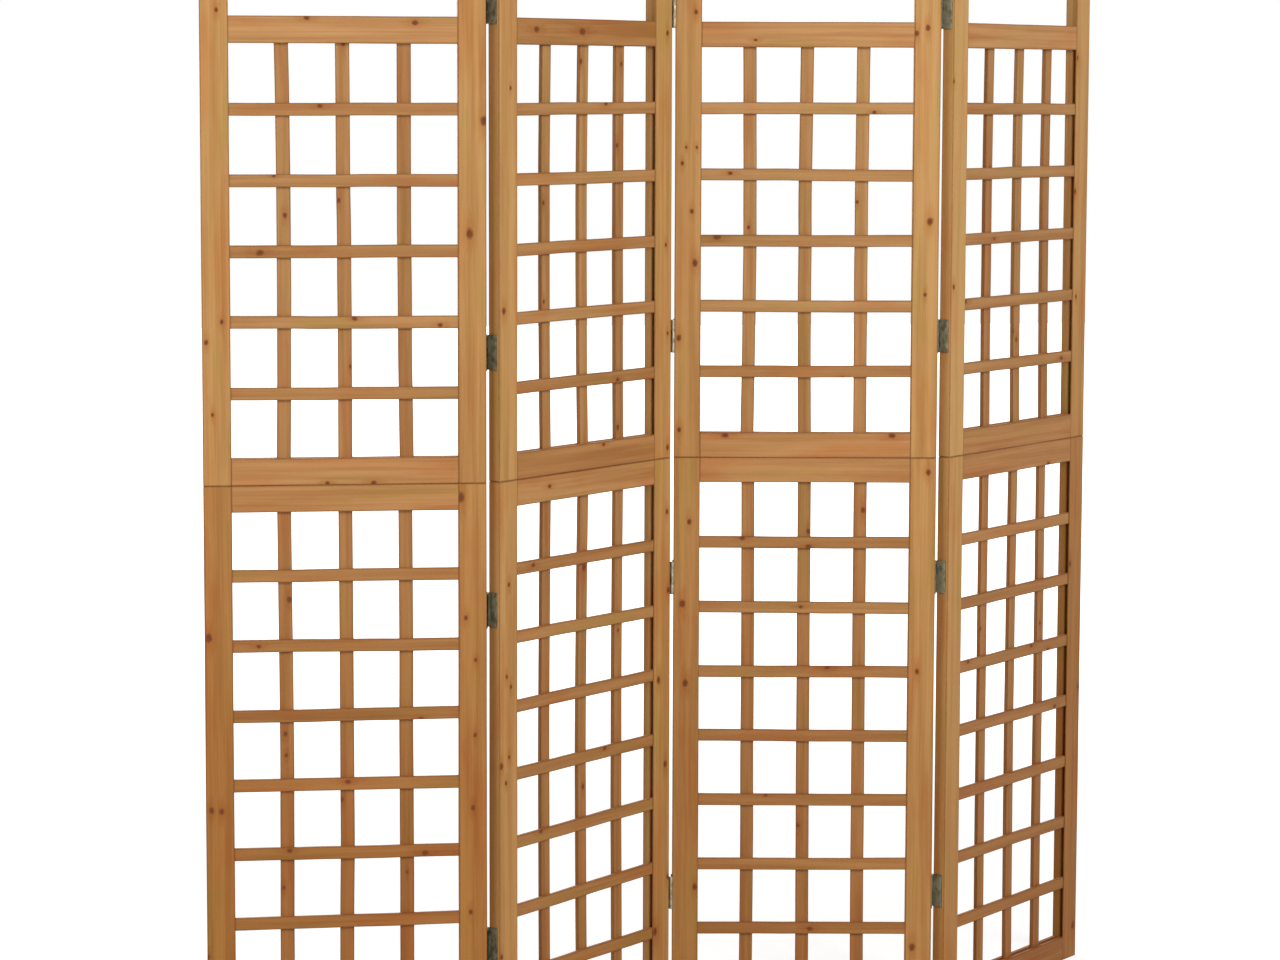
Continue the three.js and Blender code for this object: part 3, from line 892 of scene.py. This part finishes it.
class SCREEN_OT_stiles(bpy.types.Operator):
    """Builds the sixteen upright frame timbers with their slat grooves"""

    bl_idname = "screen.stiles"
    bl_label = "Stiles"

    def execute(self, context):
        timber, lattice = context.scene.screen_timber, context.scene.screen_lattice
        wavy = (timber.waviness, timber.waviness / 2)
        for number, placement in placements():
            for level, (foot, lattice_top) in LEVELS.items():
                for side, left in (("left", 0.0), ("right", PANEL_WIDTH - STILE_WIDTH)):
                    # Every board has a seed of its own, and so its own grain and knots.
                    stock = Stock(100 * number + 10 * len(level + side) + (foot > 0))
                    name = f"stile_{number}_{level}_{side}"
                    stock.add(
                        name, (FRAME_HEIGHT, STILE_WIDTH, FRAME_DEPTH), "up",
                        (left, 0.0, foot), timber.edge_radius,
                        slat_groove(timber, lattice, 1 if side == "left" else -1),
                        cut=(RAIL_HEIGHT, lattice_top), waviness=wavy,
                    )
                    node = f"{placement.body}_{level}_{side}_stile"
                    stock.piece(name, placement, "fir_stile", node)
        return {"FINISHED"}


class SCREEN_OT_rails(bpy.types.Operator):
    """Builds the rails of every frame, those at the waist with the lattices' nodes"""

    bl_idname = "screen.rails"
    bl_label = "Rails"

    def execute(self, context):
        timber, lattice = context.scene.screen_timber, context.scene.screen_lattice
        wavy = (timber.waviness, timber.waviness / 2)
        # name, height, side of the groove (-1 underside, 1 upper side), node it stands for
        plan = [
            ("lower_bottom", 0.0, 1, "lower_bottom_rail"),
            ("lower_waist", WAIST_LOW, -1, "lower_lattice"),
            ("upper_waist", UPPER_LOW, 1, "upper_lattice"),
            ("upper_middle", UPPER_LOW + MIDDLE_RAIL_LOW, -1, "upper_middle_rail"),
            ("upper_top", UPPER_LOW + WAIST_LOW, 0, "upper_top_rail"),
        ]
        length = OPENING - 2 * SHOULDER_GAP
        for number, placement in placements():
            for order, (level, height, side, node) in enumerate(plan):
                stock = Stock(1000 + 100 * number + order)
                name = f"rail_{number}_{level}"
                groove = None
                if side:
                    behind = lattice.slat_depth - lattice.lap
                    groove = slat_groove(timber, lattice, side, behind)
                stock.add(
                    name, (length, RAIL_HEIGHT, FRAME_DEPTH), "along",
                    (STILE_WIDTH + SHOULDER_GAP, 0.0, height), timber.edge_radius, groove,
                    waviness=wavy, end_dirt=SHOULDER_DIRT,
                )
                stock.piece(name, placement, "fir_rail", f"{placement.body}_{node}")
        return {"FINISHED"}


class SCREEN_OT_lattices(bpy.types.Operator):
    """Builds the crossed slats of every frame, board by board"""

    bl_idname = "screen.lattices"
    bl_label = "Lattices"

    def execute(self, context):
        timber, lattice = context.scene.screen_timber, context.scene.screen_lattice
        housing = timber.groove_depth - JOINT_GAP
        count = lattice.lower_cross
        clear = FRAME_HEIGHT - 2 * RAIL_HEIGHT - count * lattice.cross_height
        cell_height = clear / (count + 1)
        pitch = cell_height + lattice.cross_height
        clear = OPENING - lattice.uprights * lattice.upright_width
        cell_width = clear / (lattice.uprights + 1)
        step = cell_width + lattice.upright_width
        back = lattice.setback + lattice.slat_depth - lattice.lap
        wavy = (lattice.waviness, lattice.waviness / 4)
        across = (OPENING + 2 * housing, lattice.cross_height, lattice.slat_depth)
        for number, placement in placements():
            for level, (foot, top) in LEVELS.items():
                rows = getattr(lattice, f"{level}_cross")
                stock = Stock(2000 + 100 * number + rows)
                first = foot + RAIL_HEIGHT
                upward = (top - RAIL_HEIGHT + 2 * housing, lattice.upright_width,
                          lattice.slat_depth)
                slats = [
                    ("cross", i, across, "along",
                     (STILE_WIDTH - housing, lattice.setback, first + cell_height + i * pitch))
                    for i in range(rows)
                ] + [
                    ("upright", i, upward, "up",
                     (STILE_WIDTH + cell_width + i * step, back, first - housing))
                    for i in range(lattice.uprights)
                ]
                for kind, i, size, axis, place in slats:
                    board = f"{kind}_{number}_{level}_{i}"
                    stock.add(
                        board, size, axis, place, timber.slat_radius, waviness=wavy,
                        bow=stock.bow_of(board, lattice),
                    )
                stock.piece(
                    f"slats_{number}_{level}", placement, "fir_slat",
                    f"{placement.body}_{level}_lattice",
                )
        return {"FINISHED"}


# ---- Hinges ---------------------------------------------------------------------------------

ROUND_STEPS = 24
RIM_STEPS = 4
LEAF_GAP = 0.1 * MM  # between a leaf and its stile
LEAF_ROUNDING = 0.3 * MM
TONGUE_ROUNDING = 0.25 * MM  # the tongue is the sheet between a leaf and its knuckle
TONGUE_LAP = 0.2 * MM
TONGUE_INSET = 0.05 * MM
KNUCKLE_ROUNDING = 0.35 * MM
PIN_END = 0.4 * MM  # how far the pin stands out, and the rounding of its ends

SCREW_STEPS = 40
SCREW_RINGS = np.array([1.0, 0.98, 0.9, 0.72, 0.56, 0.46, 0.36, 0.24, 0.12, 0.02])
HEAD_SUNK = 0.5 * MM  # the head's rim and the floor of its slots, below the leaf
HEAD_FLUSH = 0.04 * MM  # the head's edge above the leaf
HEAD_DOME = 0.09 * MM
SLOT_HALF_WIDTH = 0.42 * MM
SLOT_REACH = 0.62  # of the head's radius


class Metalwork(Surfaces):
    """The sheets, rods and screws of a hinge leaf."""

    def plate(self, low, high, radius):
        """A rounded sheet between two corners: a rounded section carried upwards."""
        size = np.subtract(high, low)
        section = rounded_section(size[0], size[1], radius)[0]
        places, drawn, _ = end_stations(size[2], radius, size[2])
        rows = np.empty((len(places), len(section), 3))
        rows[:, :, :2] = drawn_in(section, size[0], size[1], drawn) + low[:2]
        rows[:, :, 2] = places[:, None] + low[2]
        self.grid(rows)

    def turned(self, profile):
        """A profile of (radius, height) turned about the pin's axis."""
        angle = np.linspace(0, 2 * math.pi, ROUND_STEPS, endpoint=False)
        radius, height = np.array(profile).T[:, :, None]
        self.grid(np.stack([radius * np.cos(angle), radius * np.sin(angle),
                            height + 0 * angle], -1))


def rounded_rod(radius, low, high, rounding):
    """Profile of a rod with rounded rims: the rims are quarter circles of the rounding."""
    arc = np.linspace(0, math.pi / 2, RIM_STEPS)
    foot = [(radius - rounding + rounding * math.sin(a), low + rounding * (1 - math.cos(a)))
            for a in arc]
    head = [(r, low + high - z) for r, z in reversed(foot)]
    return foot + head


def screw_head(metal, settings, x, y, z, outward):
    """A countersunk head flush in the leaf with a cross cut into it.

    The height of the head is a shallow dome, less a trough where a point lies within the
    slot's half width of either of two crossed lines and inside the slot's length.
    """
    radius = settings.screw_head
    rings = SCREW_RINGS[:, None]
    angle = np.linspace(0, 2 * math.pi, SCREW_STEPS, endpoint=False)
    across = radius * rings * np.cos(angle)
    upward = radius * rings * np.sin(angle)
    dome = HEAD_DOME * (1 - rings ** 2) + HEAD_FLUSH
    slot = np.minimum(np.abs(across), np.abs(upward)) < SLOT_HALF_WIDTH
    inside = np.maximum(np.abs(across), np.abs(upward)) < SLOT_REACH * radius
    height = np.where(slot & inside, dome - HEAD_SUNK, dome)
    height[0] = -HEAD_SUNK
    rows = np.stack([outward * height, across, upward], -1)
    metal.grid(rows + np.array([x, y, z]), flip=outward < 0)


def leaf(settings, side, face, knuckles, fixed):
    """One leaf about its pin, whose axis is at 0, 0. side is -1 on the earlier panel."""
    metal = Metalwork()
    pin_outside = settings.barrel_radius + settings.barrel_clearance
    wood = side * (settings.panel_gap / 2 - LEAF_GAP)
    inner = wood - side * settings.leaf_thickness
    left, right = min(wood, inner), max(wood, inner)
    near, far = -face * pin_outside, -face * (pin_outside + settings.leaf_reach)
    metal.plate(
        (left, min(near, far), 0.0), (right, max(near, far), HINGE_HEIGHT), LEAF_ROUNDING
    )
    for low, high in knuckles:
        metal.plate(
            (left, min(near, 0.0) - TONGUE_LAP, low + TONGUE_INSET),
            (right, max(near, 0.0) + TONGUE_LAP, high - TONGUE_INSET), TONGUE_ROUNDING,
        )
        metal.turned(rounded_rod(settings.barrel_radius, low, high, KNUCKLE_ROUNDING))
    if fixed:
        metal.turned(
            rounded_rod(settings.pin_radius, -PIN_END, HINGE_HEIGHT + PIN_END, PIN_END)
        )
    screw_y = -face * (pin_outside + settings.leaf_reach / 2)
    for z in (settings.screw_margin, HINGE_HEIGHT - settings.screw_margin):
        screw_head(metal, settings, inner, screw_y, z, -side)
    return metal


class SCREEN_OT_hinges(bpy.types.Operator):
    """Builds the two leaves, the pin and the screws of every butt hinge"""

    bl_idname = "screen.hinges"
    bl_label = "Hinges"

    def execute(self, context):
        settings = context.scene.screen_hinge
        spots = dict(placements())
        middle_low = (HINGE_HEIGHT - settings.middle_knuckle) / 2
        middle = [(middle_low, HINGE_HEIGHT - middle_low)]
        ends = [
            (0.0, middle_low - settings.knuckle_gap),
            (HINGE_HEIGHT - middle_low + settings.knuckle_gap, HINGE_HEIGHT),
        ]
        pin_outside = settings.barrel_radius + settings.barrel_clearance
        for line in range(1, PANELS):
            at_back = line % 2 == 1
            face = 1 if at_back else -1
            depth = FRAME_DEPTH + pin_outside if at_back else -pin_outside
            for order in range(1, 5):
                for kind, panel, side, knuckles, along in (
                    ("pin_leaf", line, -1, ends, PANEL_WIDTH + settings.panel_gap / 2),
                    ("turning_leaf", line + 1, 1, middle, -settings.panel_gap / 2),
                ):
                    node = f"hinge_{line}_{order}_{kind}"
                    metal = leaf(settings, side, face, knuckles, kind == "pin_leaf")
                    name = f"zinc_{kind}_{line}_{order}"
                    origin = (along, depth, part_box(node)[0].z)
                    mesh = metal.mesh(name, spots[panel], origin)
                    finished_piece(name, mesh, spots[panel], "zinc_plate", node)
        return {"FINISHED"}


# ---- Stage ----------------------------------------------------------------------------------

# Place and size of each lamp.
LAMPS = {
    "key": ((2.2, -4.0, 3.0), (2.4, 2.0)),
    "fill": ((-3.0, -2.5, 1.6), (2.0, 2.4)),
    "back": ((-1.8, 4.2, 2.6), (2.4, 2.0)),
}
LAMP_AIM = (0.0, 0.0, 0.9)
SKY_COLOUR = (1.0, 0.99, 0.97, 1.0)
WHITE = (1.0, 1.0, 1.0, 1.0)

FLOOR_CORNERS = [(-14, -14, 0), (14, -14, 0), (14, 14, 0), (-14, 14, 0)]
FLOOR_FADE = (1.3, 3.5)  # how far from the middle the floor starts and ends its fade to white
NEAR_WHITE = 0.4  # share of plain white where it starts
FLOOR_WHITE = 1.72  # strength of the plain white, which that share brings to 1 with the paper
LIT_PAPER = (0.6, 0.6, 0.6, 1.0)  # the floor for the light that it throws back
SEEN_PAPER = (0.95, 0.95, 0.95, 1.0)

SENSOR_WIDTH = 36.0
FAR_CLIP = 100.0


def lamp(name, place, size, power):
    """A rectangular lamp that points at the middle of the screen."""
    data = bpy.data.lights.new(name, "AREA")
    data.shape = "RECTANGLE"
    data.size, data.size_y = size
    data.energy = power
    made = placed(name, data)
    made.location = place
    aim = Vector(LAMP_AIM) - Vector(place)
    made.rotation_euler = aim.to_track_quat("-Z", "Y").to_euler()


def seen(n):
    """1 for rays that show the background, straight, in metal or through glass."""
    rays = n.node("LightPath").outputs
    shown = Value(n, rays["Is Camera Ray"])
    for kind in ("Is Glossy Ray", "Is Transmission Ray"):
        shown = shown.math("MAXIMUM", Value(n, rays[kind]))
    return shown


def pale_floor():
    """White floor: paper that keeps the shadow near the screen and fades to white far off."""
    made = bpy.data.materials.new("floor_white")
    n = Nodes(made)
    x, y, _ = n.parts(n.value("TexCoord", None, None, "Object"))
    far = n.ramp(n.hypotenuse(x, y), *FLOOR_FADE)
    lit, paper = (
        n.node("BsdfDiffuse", None, {"Color": colour})
        for colour in (LIT_PAPER, SEEN_PAPER)
    )
    white = n.glow("Emission", WHITE, FLOOR_WHITE)
    shown = n.either(far * (1 - NEAR_WHITE) + NEAR_WHITE, paper, white)
    n.surface(n.either(seen(n), lit, shown))
    return made


class SCREEN_OT_stage(bpy.types.Operator):
    """Builds the floor, the sky, the lamps and the camera at the photograph's view"""

    bl_idname = "screen.stage"
    bl_label = "Stage"

    def execute(self, context):
        settings = context.scene.screen_stage
        scene = context.scene
        mesh = bpy.data.meshes.new("floor")
        mesh.from_pydata(FLOOR_CORNERS, [], [(0, 1, 2, 3)])
        mesh.materials.append(pale_floor())
        placed("floor", mesh)

        world = bpy.data.worlds.new("studio")
        scene.world = world
        n = Nodes(world)
        even = n.glow("Background", SKY_COLOUR, settings.sky)
        mixed = n.either(seen(n), even, n.glow("Background", WHITE, 1.0))
        n.node("OutputWorld", None, {"Surface": mixed.outputs[0]})
        for name, (place, size) in LAMPS.items():
            lamp(name, place, size, getattr(settings, f"{name}_power"))

        data = bpy.data.cameras.new("photo_view")
        data.sensor_fit = "HORIZONTAL"
        data.sensor_width = SENSOR_WIDTH
        data.lens = settings.lens
        data.shift_y = -settings.axis_above_middle / PHOTO_WIDTH
        data.clip_end = FAR_CLIP
        camera = placed("photo_view", data)
        turn = (
            Matrix.Rotation(math.radians(settings.heading), 4, "Z")
            @ Matrix.Rotation(math.radians(90 - settings.pitch), 4, "X")
            @ Matrix.Rotation(math.radians(settings.roll), 4, "Z")
        )
        camera.matrix_world = Matrix.Translation(settings.camera_place) @ turn
        scene.camera = camera
        scene.view_settings.view_transform = "Standard"
        return {"FINISHED"}


# ---- Panel and registration -----------------------------------------------------------------

STEPS = ("stage", "stiles", "rails", "lattices", "hinges")
SETTINGS = {
    "screen_timber": TimberSettings,
    "screen_lattice": LatticeSettings,
    "screen_hinge": HingeSettings,
    "screen_finish": FinishSettings,
    "screen_stage": StageSettings,
}


class SCREEN_PT_panel(bpy.types.Panel):
    """Lists the settings and the steps that build the screen"""

    bl_label = "Folding lattice screen"
    bl_idname = "SCREEN_PT_panel"
    bl_space_type = "VIEW_3D"
    bl_region_type = "UI"
    bl_category = "Screen"

    def draw(self, context):
        for step in STEPS:
            self.layout.operator(f"screen.{step}")
        for name, group in SETTINGS.items():
            box = self.layout.box()
            for setting in group.__annotations__:
                box.prop(getattr(context.scene, name), setting)


CLASSES = (
    *SETTINGS.values(),
    SCREEN_OT_stage,
    SCREEN_OT_stiles,
    SCREEN_OT_rails,
    SCREEN_OT_lattices,
    SCREEN_OT_hinges,
    SCREEN_PT_panel,
)


def register():
    for each in CLASSES:
        bpy.utils.register_class(each)
    for name, group in SETTINGS.items():
        setattr(bpy.types.Scene, name, bpy.props.PointerProperty(type=group))


def unregister():
    for name in SETTINGS:
        delattr(bpy.types.Scene, name)
    for each in reversed(CLASSES):
        bpy.utils.unregister_class(each)


def main():
    register()
    for step in STEPS:
        getattr(bpy.ops.screen, step)()


if __name__ == "__main__":
    main()
